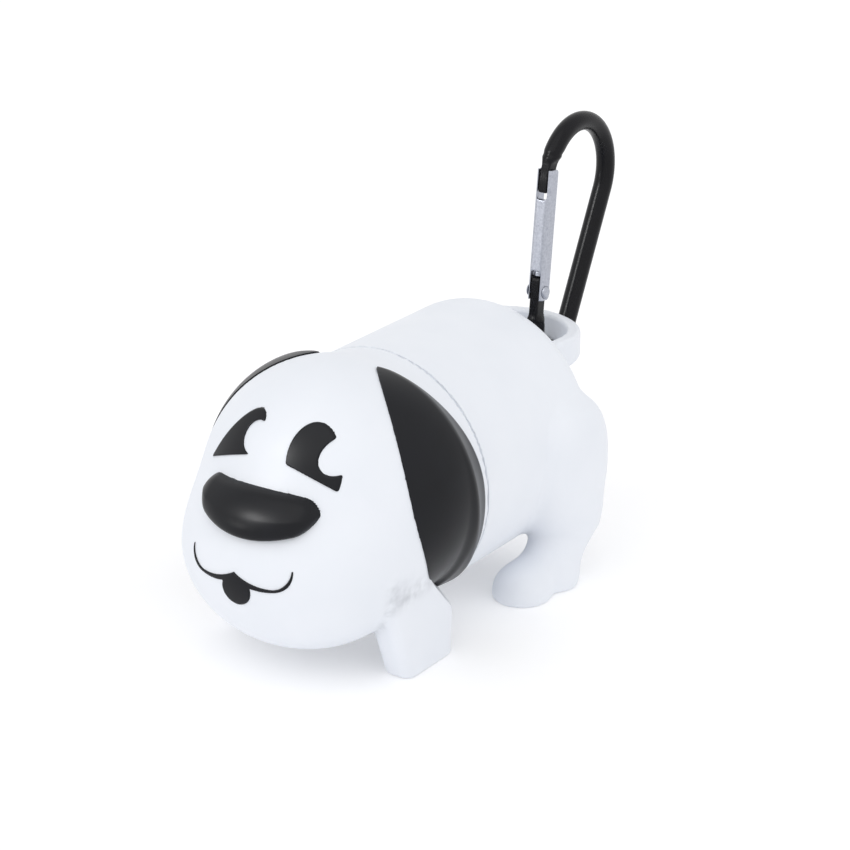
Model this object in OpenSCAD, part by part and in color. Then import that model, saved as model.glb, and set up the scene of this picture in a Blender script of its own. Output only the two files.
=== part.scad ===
// Bag dispenser in the form of a standing dog: a head that pulls off a hollow
// barrel body, a roll of bags inside, and a sprung clip on the tail loop.
// The dog faces -Y, its left side is +X, +Z is up. The origin is on the floor
// below the middle of the whole object. The source is written from the plane
// where head and body part, and the last lines move every piece by middle_y.

/* [Body] */
// Outer radius of the barrel body and of the collar behind the head
barrel_r = 27; // [26:0.5:33]
// Length of the barrel from the parting plane to its rear face
barrel_len = 43.5; // [36:0.5:54]
// Wall of the rear shell
shell_wall = 2.4; // [2:0.1:3]
// Rounding between the barrel's side and its rear face
rear_round = 7; // [5:0.5:8]
// Height of the barrel's underside above the floor
belly_gap = 5; // [4:0.5:8]
// Gap that shows as the parting line
seam_gap = 0.3; // [0.2:0.1:0.6]

/* [Head] */
// Width of the plain collar between the head and the parting plane
collar_w = 9; // [7:0.5:12]
// How far the skull's centre lies in front of the parting plane
skull_ahead = 17; // [15:0.5:20]
// Half length of the skull
skull_half_len = 26.5; // [24:0.5:28]
// How far the muzzle's centre lies in front of the parting plane
jowl_ahead = 28.8; // [27:0.1:31]
// Half length of the muzzle
jowl_half_len = 21.3; // [20:0.1:23]
// Half height of the muzzle
jowl_half_h = 20.6; // [18:0.1:21.5]
// How far the muzzle's centre lies below the body's axis
jowl_drop = 6.8; // [6:0.1:9]
// Sharpness of the crease between skull and muzzle
crease_power = 16; // [10:1:24]
// Length of the spigot that enters the rear shell
spigot_len = 8; // [6:0.5:12]
// Wall of the spigot
spigot_wall = 1.8; // [1.5:0.1:2.2]
// Radial clearance of the spigot in the rear shell
spigot_fit = 0.15; // [0.1:0.05:0.25]

/* [Face and ears] */
// Depth of the eye, nose and mouth pieces in the head
inlay_depth = 1.2; // [0.8:0.1:1.6]
// How far eyes and mouth stand out of the head
inlay_proud = 0.25; // [0.1:0.05:0.5]
// Gap round every piece that is set into the head
inlay_fit = 0.05; // [0.03:0.01:0.1]
// Half width of an eye
eye_half_w = 5.1; // [4.2:0.1:6]
// Half height of an eye
eye_half_h = 8.2; // [7:0.1:9]
// Distance from the middle of the face to the middle of an eye
eye_out = 9.6; // [9:0.1:10.4]
// Height of the eyes' centre above the body's axis
eye_up = 15.9; // [15:0.1:17]
// Radius of the round notch in each eye
eye_notch_r = 3.2; // [2.4:0.1:3.6]
// Half width of the nose
nose_half_w = 14.2; // [12:0.1:15]
// Half height of the nose
nose_half_h = 4.6; // [4:0.1:5.2]
// Height of the nose's centre above the body's axis
nose_up = 6.8; // [6:0.1:7.5]
// How far the nose's centre lies in front of the parting plane
nose_ahead = 42; // [41:0.1:43]
// Half depth of the nose
nose_half_d = 6.5; // [5:0.1:7]
// Radius of each hanging arc of the mouth
mouth_lip_r = 14.4; // [13:0.1:16]
// Radius of the curl at each end of the mouth
mouth_curl_r = 4; // [3.4:0.1:4.6]
// Width of the mouth line
mouth_line = 1.1; // [0.8:0.1:1.6]
// Half width of the tongue
tongue_half_w = 3.4; // [2.5:0.1:4.5]
// Radius of the ear's outline, seen from the side
ear_r = 23.5; // [21:0.1:24.5]
// Gap between the ear's straight rear edge and the parting plane
ear_back = 2; // [1.5:0.5:4]
// How far the ear's ridge stands out of the collar
ear_proud = 3.5; // [2:0.1:4]
// Thickness of the ear below its outer face
ear_thick = 4; // [3:0.1:4.4]

/* [Legs] */
// Width of a front leg
front_leg_w = 7.5; // [6:0.5:10]
// Length of a front foot
front_leg_len = 16.5; // [13:0.5:18]
// Distance from the middle to the middle of a front leg
front_leg_out = 22.5; // [20:0.5:23.5]
// Distance from the middle to the middle of a hind leg
hind_leg_out = 22.5; // [21:0.5:25]
// Radius of the hind leg's ankle
ankle_r = 5.6; // [5:0.1:6.6]

/* [Tail loop and bag port] */
// Outer radius of the tail loop
loop_r = 16; // [15:0.5:18]
// Thickness of the tail loop's wall
loop_wall = 3; // [2.4:0.1:3.6]
// Height of the tail loop's wall
loop_h = 7.2; // [6:0.1:7.4]
// Height of the tail loop's middle above the body's axis
loop_up = 15; // [13:0.5:17]
// Distance from the rear face to the centre of the loop's round end
loop_behind = 4.6; // [3:0.1:8]
// Radius of the port that the bags leave through
port_r = 6.5; // [5:0.5:8]
// How far the port's centre lies below the body's axis
port_drop = 5; // [4:0.5:8]

/* [Bag roll] */
// Outer radius of a full roll of bags
roll_r = 16.5; // [14:0.5:17]
// Length of the roll
roll_len = 57; // [50:1:58]
// Outer radius of the roll's core
core_r = 6.5; // [5:0.5:8]
// Wall of the core
core_wall = 1.2; // [0.8:0.1:2]
// Clearance between the core and the innermost wind
core_fit = 0.05; // [0.03:0.01:0.2]
// Gap between the roll and what it lies on
roll_gap = 0.3; // [0.2:0.1:0.5]

/* [Clip] */
// Diameter of the clip's wire
wire_d = 4.3; // [3.6:0.1:4.6]
// Clearance between the clip's small bend and the bar of the tail loop
bend_gap = 0.86; // [0.3:0.01:2]
// Radius of the large bend, on the wire's centre line
large_bend_r = 12.6; // [10:0.1:15]
// Distance between the centres of the two bends
clip_len = 33.4; // [32:0.1:42]
// Angle that the clip leans back from upright as it stands
clip_lean = 6.4; // [0:0.1:12]
// Sideways place of the clip on the tail loop
clip_side = 2; // [0:0.5:3]
// Width of the gate
gate_w = 3.8; // [3.6:0.1:4.4]
// Depth of the gate
gate_d = 3.4; // [3.2:0.1:4]
// Thickness of the gate's sheet
gate_sheet = 0.55; // [0.4:0.05:0.6]
// Length of the gate
gate_len = 29.6; // [27:0.1:31]
// Length of the window at each end of the gate's web
window_len = 6.8; // [6.2:0.1:7.6]
// Clearance between the wire's flattened ends and the gate's flanges
blade_fit = 0.25; // [0.15:0.05:0.4]
// Radius of the rivet's shank
rivet_r = 0.85; // [0.7:0.05:1]
// Radial clearance of the rivet in the hook
rivet_fit = 0.06; // [0.03:0.01:0.1]
// Coils of the gate's spring
spring_coils = 10; // [8:1:12]
// Wire diameter of the gate's spring
spring_wire = 0.4; // [0.3:0.05:0.4]

/* [Hidden] */
$fn = 96;
eps = 0.01;
big = 200;
middle_y = 18.3;
sides = [-1, 1];

// Body: the cavity is the rear shell's bore, the spigot and the head's dome.
axis_z = barrel_r + belly_gap;
bore_r = barrel_r - shell_wall;
spigot_r = bore_r - spigot_fit;
cavity_r = spigot_r - spigot_wall;
bore_end = barrel_len - shell_wall;
bore_round = rear_round - shell_wall;
front_face = -seam_gap / 2;
rear_start = seam_gap / 2;

// Roll: it lies on the spigot, with room left in front of the bag port.
roll_drop = cavity_r - roll_gap - roll_r;
roll_rear = bore_end - 2.6;
roll_front = roll_rear - roll_len;

// Head: skull and muzzle are two ellipsoids, seen from one centre inside both.
head_eye = [0, -skull_ahead - 3, axis_z - 3];
skull_c = [0, -skull_ahead, axis_z + 1.8];
skull_s = [barrel_r + 1, skull_half_len, barrel_r + 1];
jowl_c = [0, -jowl_ahead, axis_z - jowl_drop];
jowl_s = [barrel_r - 1.5, jowl_half_len, jowl_half_h];
head_rings = 20;
head_spokes = 40;
head_back = -1;
muzzle_hollow_c = jowl_c + [0, -1, 1];
muzzle_hollow_r = jowl_half_h - 4.6;
dome_r = 12;
dome_front = min(roll_front - 1, -16);
face_back = -skull_ahead - 8;
brow_turn = 20.5;
eye_tilt = 29;
mouth_lip_c = [7, 7.3];
mouth_turn = -83;
mouth_tip = 5;
mouth_curl_c = mouth_lip_c
    + (mouth_lip_r - mouth_curl_r) * [cos(mouth_turn), sin(mouth_turn)];
tongue_z = -8.25;

// Ears: a disc seen from the side, cut straight at the back, whose outer face
// turns round the body's axis through (radius, y) at its edge, ridge and tip.
// Seen from above, the rear edge bends forward from ear_bend to ear_top.
ear_cut = 0.75;
ear_c = [-ear_back + ear_cut, 6.2];
ear_bend = [24.5, -ear_back];
ear_top = [7, -ear_back - 10];
ear_edge = [barrel_r + 0.6, -ear_back];
ear_ridge = [barrel_r + ear_proud, -ear_back - 7.5];
ear_tip = [barrel_r + 1.3, ear_c.x - ear_r];
ear_inner_r = ear_edge.x - ear_thick + 1.8;
ear_taper = 2;

// Hind leg: middles and half sizes of the blobs that it is drawn over.
hip_y = barrel_len - 9.5;
thigh_c = [hind_leg_out - 1.5, hip_y, axis_z - 4.5];
thigh_s = [10.8, 13.4, 15.6];
knee_c = [hind_leg_out + 0.5, hip_y + 2, 14];
knee_s = [7.8, 8.2, 7.8];
heel_c = [hind_leg_out + 1, hip_y - 3.8, 2.6];
heel_s = ankle_r * [1, 1.15, 1];
instep_c = [hind_leg_out + 0.5, hip_y - 3.6, 6.5];
instep_s = ankle_r * [0.9, 0.9, 0.9];
toe_c = [hind_leg_out - 0.8, hip_y - 13, 1.5];
toe_s = ankle_r * [1.12, 1.12, 1.05];

// Tail loop: a round end, two arms, and the bar that the clip turns about.
loop_c_y = barrel_len + loop_behind;
loop_mid_r = loop_r - loop_wall / 2;
loop_z = axis_z + loop_up;
loop_chamfer = 0.7;
bar_y = loop_c_y + loop_mid_r;
port_lip = 2.6;
port_lip_h = 1.2;

// Clip, in its own plane: first number from gate to spine, second along the gate.
wire_r = wire_d / 2;
bar_reach = norm([loop_wall / 2 - loop_chamfer, loop_h / 2]);
small_bend_r = wire_r + bar_reach + bend_gap;
wire_lap = 0.5;
wire_step = 0.03;
gate_x = -small_bend_r;
large_c = [large_bend_r - small_bend_r,
           sqrt(pow(clip_len, 2) - pow(large_bend_r - small_bend_r, 2))];
spine_turn = atan2(large_c.x, large_c.y) + asin((large_bend_r - small_bend_r) / clip_len);
spine_len = sqrt(pow(clip_len, 2) - pow(large_bend_r - small_bend_r, 2));
gate_top = large_c.y + 3.2;
gate_foot = gate_top - gate_len;
pivot_z = gate_foot + 1.9;
tongue_r = 3.5;
blade_t = gate_w - 2 * gate_sheet - 2 * blade_fit;
blade_d = gate_d - 0.2;
blade_from = gate_foot - 3;
blade_end_turn = asin((gate_top + 1.4 - large_c.y) / large_bend_r);
nose_tip = gate_top - 5.2;
rivet_head_r = 1.45;
rivet_head_h = 0.7;
press = 0.03;
plunger_len = 2.2;
plunger_r = 1.1;
plunger_from = pivot_z + tongue_r + 0.1;
spring_from = plunger_from + plunger_len + 0.05;
spring_pitch = 1;
spring_r = 0.9;
spring_len = spring_coils * spring_pitch;
spring_top = spring_from + spring_len + spring_wire + 0.05;

// ---- helpers -------------------------------------------------------------

// Turns an upright shape so that its +Z runs along +Y.
module along_y() {
    rotate([-90, 0, 0]) children();
}

// Turns the profile (radius, y) round the body's axis.
module turned(profile) {
    translate([0, 0, axis_z]) along_y() rotate_extrude() polygon(profile);
}

// Points of an arc round c, from angle a to angle b.
function arc(c, r, a, b, n = 8) =
    [for (i = [0 : n]) let (t = a + (b - a) * i / n) c + r * [cos(t), sin(t)]];

// A ball squeezed to the given half sizes.
module blob(c, s) {
    translate(c) scale(s / s.z) sphere(r = s.z, $fn = 24);
}

// Places the clip's own plane on the tail loop.
module clip_place() {
    translate([clip_side, bar_y, loop_z])
        rotate([-clip_lean, 0, 0])
            children();
}

// A round bar along the clip's X from -len/2 to len/2, at (y, z).
module cross_pin(y, z, r, len) {
    translate([-len / 2, y, z]) rotate([0, 90, 0]) cylinder(r = r, h = len, $fn = 48);
}

// Part of a ring in the clip's plane: the section stands at radius r.
module bend(c, r, from, to) {
    translate([0, c.x, c.y])
        rotate([90, 0, 90])
            rotate([0, 0, from])
                rotate_extrude(angle = to - from)
                    translate([r, 0]) children();
}

// ---- head form -----------------------------------------------------------

// Distance from p along d to the surface of the ellipsoid (c, s).
function reach(p, d, c, s) =
    let (q = [for (i = [0 : 2]) (p[i] - c[i]) / s[i]],
         e = [for (i = [0 : 2]) d[i] / s[i]],
         qe = q * e,
         ee = e * e)
    (-qe + sqrt(qe * qe - ee * (q * q - 1))) / ee;

// Skull and muzzle joined with a soft crease.
function head_reach(d) =
    let (a = reach(head_eye, d, skull_c, skull_s),
         b = reach(head_eye, d, jowl_c, jowl_s))
    pow(pow(a, crease_power) + pow(b, crease_power), 1 / crease_power);

// Direction number (ring, spoke), counted from straight ahead.
function head_dir(ring, spoke) =
    let (t = 180 * ring / head_rings, p = 360 * spoke / head_spokes)
    [sin(t) * cos(p), -cos(t), sin(t) * sin(p)];

// The head's outer form, grown outwards by grow.
module head_form(grow = 0) {
    rings = [for (i = [1 : head_rings - 1]) for (j = [0 : head_spokes - 1])
                let (d = head_dir(i, j)) head_eye + (head_reach(d) + grow) * d];
    ends = [for (i = [0, head_rings])
                let (d = head_dir(i, 0)) head_eye + (head_reach(d) + grow) * d];
    tip = len(rings);
    last = (head_rings - 2) * head_spokes;
    walls = [for (i = [0 : head_rings - 3]) for (j = [0 : head_spokes - 1])
                let (k = (j + 1) % head_spokes, a = i * head_spokes, b = a + head_spokes)
                each [[a + j, a + k, b + k], [a + j, b + k, b + j]]];
    fans = [for (j = [0 : head_spokes - 1]) let (k = (j + 1) % head_spokes)
                each [[tip, k, j], [tip + 1, last + j, last + k]]];
    polyhedron(concat(rings, ends), concat(walls, fans));
}

// Keeps what lies in front of the given y.
module in_front_of(y) {
    intersection() {
        children();
        translate([-big / 2, y - big, -big / 2]) cube(big);
    }
}

// ---- face outlines, seen from the front ----------------------------------

// Carries an outline (x, height above the axis) through the front of the head.
module face_prism() {
    translate([0, face_back, axis_z])
        rotate([90, 0, 0])
            linear_extrude(big / 4)
                children();
}

// An oval eye with a round notch, cut off below along the cheek.
module eye_outline(side, grow = 0) {
    notch = [4.4, 2.6];
    cheek_down = 1.8;
    difference() {
        translate([side * eye_out, eye_up])
            rotate(side * eye_tilt)
                polygon([for (t = [0 : 10 : 350])
                            [(eye_half_w + grow) * cos(t), (eye_half_h + grow) * sin(t)]]);
        translate([side * eye_out, eye_up] + notch) circle(r = eye_notch_r - grow, $fn = 40);
        translate([side * eye_out, eye_up - cheek_down - grow])
            rotate(-side * brow_turn)
                translate([-big / 2, -big]) square(big);
    }
}

// A wide bean with a shallow dip on top.
module nose_outline(grow = 0) {
    end_r = nose_half_h + grow;
    end_x = nose_half_w - nose_half_h;
    dip_r = 17;
    dip_deep = 0.3;
    difference() {
        union() {
            for (s = sides) translate([s * end_x, nose_up]) circle(r = end_r, $fn = 48);
            translate([-end_x, nose_up - end_r]) square([2 * end_x, 2 * end_r]);
        }
        translate([0, nose_up + end_r + dip_r - dip_deep]) circle(r = dip_r - grow, $fn = 96);
    }
}

// The mouth's left half, from the tongue's tip round the curl to the upper middle.
function mouth_half(half, w) =
    let (tip_c = mouth_curl_c + mouth_curl_r * [cos(mouth_tip), sin(mouth_tip)],
         outer = mouth_lip_r + half,
         inner = mouth_lip_r - half,
         next = mouth_turn - 4)
    concat(arc([0, tongue_z], w, -90, 0),
           arc(mouth_lip_c, outer, -acos((w - mouth_lip_c.x) / outer), next, 5),
           arc(mouth_curl_c, mouth_curl_r + half, mouth_turn, mouth_tip, 10),
           arc(tip_c, half, mouth_tip + 30, mouth_tip + 150, 4),
           arc(mouth_curl_c, mouth_curl_r - half, mouth_tip, mouth_turn, 10),
           arc(mouth_lip_c, inner, next, -acos(-mouth_lip_c.x / inner)));

// Two hanging arcs that meet over a rounded tongue.
module mouth_outline(grow = 0) {
    points = mouth_half(mouth_line / 2 + grow, tongue_half_w + grow);
    last = len(points) - 1;
    mirrored = [for (i = [last - 1 : -1 : 1]) [-points[i].x, points[i].y]];
    polygon(concat(points, mirrored));
}

// The skin of the head from depth below to proud above its surface.
module head_skin(depth, proud) {
    difference() {
        head_form(proud);
        head_form(-depth);
    }
}

module face_pockets() {
    difference() {
        face_prism() {
            for (s = sides) eye_outline(s, inlay_fit);
            nose_outline(inlay_fit);
            mouth_outline(inlay_fit);
        }
        head_form(-inlay_depth - inlay_fit);
    }
}

// ---- ears ----------------------------------------------------------------

// The ear's outline, carried sideways; its rear edge follows the parting plane.
module ear_prism(side, grow = 0) {
    translate([0, ear_c.x, axis_z + ear_c.y])
        rotate([90, 0, 90 * side])
            translate([0, 0, ear_top.x - grow])
                linear_extrude(big / 2)
                    intersection() {
                        circle(r = ear_r + grow, $fn = 96);
                        translate([side > 0 ? -big : ear_cut - grow, -big / 2])
                            square([side > 0 ? big - ear_cut + grow : big, big]);
                    }
}

// Everything in front of the ear's rear edge as seen from above.
module ear_front(side, grow = 0) {
    slope = (ear_bend.y - ear_top.y) / (ear_bend.x - ear_top.x);
    rear = grow * sqrt(1 + pow(slope, 2));
    end = ear_bend + [big, big * slope];
    translate([0, 0, axis_z - big / 4])
        linear_extrude(big / 2)
            polygon([[0, -big], [0, ear_top.y - ear_top.x * slope + rear],
                     [side * end.x, end.y + rear], [side * end.x, -big]]);
}

// The ear, or with grow its pocket, which is open outwards by pocket_lift.
module ear_pad(side, grow = 0) {
    low = ear_inner_r - grow;
    pocket_lift = 4;
    lift = [grow > 0 ? pocket_lift : 0, 0];
    intersection() {
        ear_prism(side, grow);
        ear_front(side, grow);
        turned([[low, ear_edge.y + grow], ear_edge + lift + [0, grow], ear_ridge + lift,
                ear_tip + lift, [low - ear_taper, ear_tip.y - 2]]);
    }
}

// ---- front shell ---------------------------------------------------------

module front_leg(side) {
    corner = 2.4;
    half = [front_leg_w / 2 - corner, front_leg_len / 2 - corner];
    spread = [0.6, 3.6];
    foot = [side * front_leg_out, -skull_ahead - 3.2, 0];
    top = [side * (front_leg_out - 2), foot.y + 0.6, axis_z - jowl_drop - 4];
    hull()
        for (i = sides) for (j = sides) {
            translate(foot + [i * half.x, j * half.y, 0])
                cylinder(r = corner, h = 1, $fn = 20);
            translate(top + [i * (half.x + spread.x), j * (half.y + spread.y), 0])
                cylinder(r = corner, h = 1, $fn = 20);
        }
}

// Room inside head and collar: the spigot's bore, a dome and the muzzle.
module head_hollow() {
    end_r = cavity_r - dome_r;
    turned(concat([[0, spigot_len + 1], [cavity_r, spigot_len + 1]],
                  arc([end_r, dome_front], dome_r, 0, -90, 10),
                  [[0, dome_front - dome_r]]));
    translate(muzzle_hollow_c) sphere(r = muzzle_hollow_r, $fn = 64);
}

module front_shell() {
    color("white")
        difference() {
            union() {
                in_front_of(head_back) head_form();
                turned([[0, -collar_w - 2], [barrel_r - 1.8, -collar_w - 2],
                        [barrel_r - 0.5, -collar_w + 3], [barrel_r, -collar_w + 6],
                        [barrel_r, front_face], [spigot_r, front_face],
                        [spigot_r, spigot_len - 0.5], [spigot_r - 0.5, spigot_len],
                        [0, spigot_len]]);
                for (s = sides) front_leg(s);
            }
            head_hollow();
            face_pockets();
            for (s = sides) ear_pad(s, inlay_fit);
        }
}

module left_ear() {
    color("black") ear_pad(1);
}

module right_ear() {
    color("black") ear_pad(-1);
}

module left_eye() {
    color("black")
        intersection() {
            face_prism() eye_outline(1);
            head_skin(inlay_depth, inlay_proud);
        }
}

module right_eye() {
    color("black")
        intersection() {
            face_prism() eye_outline(-1);
            head_skin(inlay_depth, inlay_proud);
        }
}

// The nose's rounded front: three squeezed balls in a row that curves with the head.
module nose_bulge() {
    over = 1.06;
    curve = 2.6;
    end_x = nose_half_w - nose_half_h;
    hull()
        for (i = [-1 : 1])
            blob([i * end_x, -nose_ahead + curve * abs(i), axis_z + nose_up],
                 [nose_half_h * over, nose_half_d, nose_half_h * over]);
}

module nose() {
    color("black")
        difference() {
            intersection() {
                face_prism() nose_outline();
                union() {
                    nose_bulge();
                    head_form(inlay_proud);
                }
            }
            head_form(-inlay_depth);
        }
}

module mouth() {
    color("black")
        intersection() {
            face_prism() mouth_outline();
            head_skin(inlay_depth, inlay_proud);
        }
}

// ---- rear shell ----------------------------------------------------------

function on_side(side, c) = [side * c.x, c.y, c.z];

module hind_leg(side) {
    difference() {
        union() {
            hull() {
                blob(on_side(side, thigh_c), thigh_s);
                blob(on_side(side, knee_c), knee_s);
            }
            hull() {
                blob(on_side(side, knee_c), knee_s);
                blob(on_side(side, heel_c), heel_s);
            }
            hull() {
                blob(on_side(side, instep_c), instep_s);
                blob(on_side(side, heel_c), heel_s);
                blob(on_side(side, toe_c), toe_s);
            }
        }
        translate([-big / 2, -big / 2, -big]) cube(big);
    }
}

// Half of a ring and two arms that run forward into the rear wall.
module tail_loop() {
    t = loop_wall / 2;
    h = loop_h / 2;
    k = loop_chamfer;
    section = [[-t + k, -h], [t - k, -h], [t, -h + k], [t, h - k],
               [t - k, h], [-t + k, h], [-t, h - k], [-t, -h + k]];
    arm = loop_behind + shell_wall + 2;
    translate([0, loop_c_y, loop_z]) {
        rotate_extrude(angle = 180) translate([loop_mid_r, 0]) polygon(section);
        for (s = sides)
            translate([s * loop_mid_r, 0, 0]) rotate([90, 0, 0]) linear_extrude(arm) polygon(section);
    }
}

module port_rim() {
    r = port_r + port_lip;
    translate([0, 0, axis_z - port_drop]) along_y()
        rotate_extrude()
            polygon([[0, barrel_len - 1], [r, barrel_len - 1],
                     [r, barrel_len + port_lip_h - 0.6], [r - 0.6, barrel_len + port_lip_h],
                     [0, barrel_len + port_lip_h]]);
}

module rear_shell() {
    color("white")
        difference() {
            union() {
                turned(concat([[0, rear_start], [barrel_r, rear_start]],
                              arc([barrel_r - rear_round, barrel_len - rear_round],
                                  rear_round, 0, 90),
                              [[0, barrel_len]]));
                for (s = sides) hind_leg(s);
                tail_loop();
                port_rim();
            }
            turned(concat([[0, -1], [bore_r, -1]],
                          arc([bore_r - bore_round, bore_end - bore_round], bore_round, 0, 90),
                          [[0, bore_end]]));
            translate([0, bore_end - 1, axis_z - port_drop]) along_y()
                cylinder(r = port_r, h = shell_wall + port_lip_h + 2);
        }
}

// ---- bag roll ------------------------------------------------------------

module roll_place() {
    translate([0, roll_front, axis_z - roll_drop]) along_y() children();
}

module bag_roll() {
    color("seagreen")
        roll_place() difference() {
            cylinder(r = roll_r, h = roll_len);
            translate([0, 0, -1]) cylinder(r = core_r + core_fit, h = roll_len + 2);
        }
}

module roll_core() {
    color("tan")
        roll_place() difference() {
            cylinder(r = core_r, h = roll_len);
            translate([0, 0, -1]) cylinder(r = core_r - core_wall, h = roll_len + 2);
        }
}

// ---- clip ----------------------------------------------------------------

// A flat blade in the gate's line, from one height to another.
module blade(from, to) {
    translate([-blade_t / 2, gate_x - blade_d / 2, from]) cube([blade_t, blade_d, to - from]);
}

// A straight stretch of wire whose ends run a little way into the bends.
module straight_wire(len) {
    translate([0, 0, -wire_lap]) cylinder(r = wire_r - wire_step, h = len + 2 * wire_lap, $fn = 48);
}

module carabiner_hook() {
    top_start = -spine_turn;
    top_end = 180 - blade_end_turn;
    color("black")
        clip_place() difference() {
            union() {
                bend([0, 0], small_bend_r, 180, 360 - spine_turn) circle(r = wire_r, $fn = 48);
                rotate([-spine_turn, 0, 0]) translate([0, small_bend_r, 0])
                    straight_wire(spine_len);
                bend(large_c, large_bend_r, top_start, top_end) circle(r = wire_r, $fn = 48);
                bend(large_c, large_bend_r, top_end - 3, 180)
                    square([blade_d, blade_t], center = true);
                blade(nose_tip, large_c.y + eps);
                translate([0, gate_x, 0]) straight_wire(blade_from - wire_lap);
                blade(blade_from - 1, pivot_z);
                intersection() {
                    blade(pivot_z - eps, pivot_z + tongue_r + 1);
                    cross_pin(gate_x, pivot_z, tongue_r, blade_t);
                }
            }
            cross_pin(gate_x, pivot_z, rivet_r + rivet_fit, wire_d + 2);
        }
}

module carabiner_gate() {
    inside_w = gate_w - 2 * gate_sheet;
    color("silver")
        clip_place() difference() {
            translate([-gate_w / 2, gate_x - gate_d / 2, gate_foot])
                cube([gate_w, gate_d, gate_len]);
            difference() {
                translate([-inside_w / 2, gate_x - gate_d / 2 + gate_sheet, gate_foot - 1])
                    cube([inside_w, gate_d, gate_len + 2]);
                translate([-gate_w / 2, gate_x - gate_d / 2, spring_top])
                    cube([gate_w, gate_d - 0.4, gate_sheet]);
            }
            for (z = [gate_foot - 1, gate_top - window_len])
                translate([-inside_w / 2, gate_x - gate_d, z])
                    cube([inside_w, gate_d, window_len + 1]);
            cross_pin(gate_x, pivot_z, rivet_r + press, wire_d + 2);
        }
}

module gate_rivet() {
    shank = gate_w + 2 * rivet_head_h - 2 * eps;
    color("silver")
        clip_place() {
            cross_pin(gate_x, pivot_z, rivet_r, shank);
            for (s = sides)
                translate([s * (gate_w / 2 + press + rivet_head_h / 2), 0, 0])
                    cross_pin(gate_x, pivot_z, rivet_head_r, rivet_head_h);
        }
}

module gate_plunger() {
    color("silver")
        clip_place()
            translate([0, gate_x, plunger_from]) {
                cylinder(r = plunger_r, h = plunger_len - 1, $fn = 40);
                cylinder(r = plunger_r - 0.5, h = plunger_len, $fn = 40);
            }
}

// Middle of the spring's wire at turn t.
function spring_point(t) =
    [spring_r * cos(360 * t), gate_x + spring_r * sin(360 * t),
     spring_from + spring_wire / 2 + spring_pitch * t];

// Corner s of the wire's six-sided section at turn t.
function spring_corner(t, s) =
    let (out = [cos(360 * t), sin(360 * t), 0], a = 60 * s)
    spring_point(t) + spring_wire / 2 * (cos(a) * out + sin(a) * [0, 0, 1]);

// Clear distance between turns, measured between rings of the spring's points.
function spring_gap(rings) =
    min([for (i = [0 : rings - 5]) for (j = [i + 5 : min(i + 12, rings)])
            norm(spring_point(j / 8) - spring_point(i / 8))]) - spring_wire;

module gate_spring() {
    rings = 8 * spring_coils;
    points = [for (i = [0 : rings]) for (s = [0 : 5]) spring_corner(i / 8, s)];
    walls = [for (i = [0 : rings - 1]) for (s = [0 : 5])
                let (a = 6 * i, n = (s + 1) % 6)
                each [[a + s, a + n, a + n + 6], [a + s, a + n + 6, a + s + 6]]];
    caps = [for (s = [1 : 4]) each [[0, s + 1, s], [6 * rings, 6 * rings + s, 6 * rings + s + 1]]];
    echo(spring_least_gap = spring_gap(rings));
    color("silver") clip_place() polyhedron(points, concat(walls, caps));
}

translate([0, -middle_y, 0]) {
    front_shell();
    left_ear();
    right_ear();
    left_eye();
    right_eye();
    nose();
    mouth();
    rear_shell();
    bag_roll();
    roll_core();
    carabiner_hook();
    carabiner_gate();
    gate_rivet();
    gate_plunger();
    gate_spring();
}
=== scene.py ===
# %% [markdown]
# # A dog-shaped bag dispenser
# The real object is two soft white mouldings that plug into each other, black
# pieces set into the head, a roll of bags inside and a small sprung clip. The
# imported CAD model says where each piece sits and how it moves. This lesson
# gives every visible piece its finished surface, on the same bodies.

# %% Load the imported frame
import bpy
import numpy as np
from mathutils import Matrix


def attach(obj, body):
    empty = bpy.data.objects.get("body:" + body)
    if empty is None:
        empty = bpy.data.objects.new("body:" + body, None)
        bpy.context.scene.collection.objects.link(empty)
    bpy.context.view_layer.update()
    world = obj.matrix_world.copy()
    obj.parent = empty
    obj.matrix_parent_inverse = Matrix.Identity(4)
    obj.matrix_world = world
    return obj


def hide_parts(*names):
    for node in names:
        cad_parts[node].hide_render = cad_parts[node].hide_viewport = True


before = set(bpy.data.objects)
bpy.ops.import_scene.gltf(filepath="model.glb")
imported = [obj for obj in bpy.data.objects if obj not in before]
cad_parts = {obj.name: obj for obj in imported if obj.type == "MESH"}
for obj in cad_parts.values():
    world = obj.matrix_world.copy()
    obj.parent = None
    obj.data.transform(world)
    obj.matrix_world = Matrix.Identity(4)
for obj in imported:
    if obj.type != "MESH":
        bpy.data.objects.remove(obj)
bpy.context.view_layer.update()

MM = 0.001
PARTING_Y = -18.3
AXIS_Z = 32.0

# %% [markdown]
# ## Camera
# The photograph looks at the dog's left front from a little above, through a
# long lens. Angle, height and distance were found by laying the barrel's round
# parting line and the feet over the photograph. Everything is in millimetres
# from the parting line and the floor; to_frame turns that into the frame.

# %% Camera
def to_frame(points):
    """Millimetres from the parting plane to metres in the frame: shift y, then divide by 1000."""
    return (np.asarray(points, float) + (0.0, PARTING_Y, 0.0)) * MM


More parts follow.
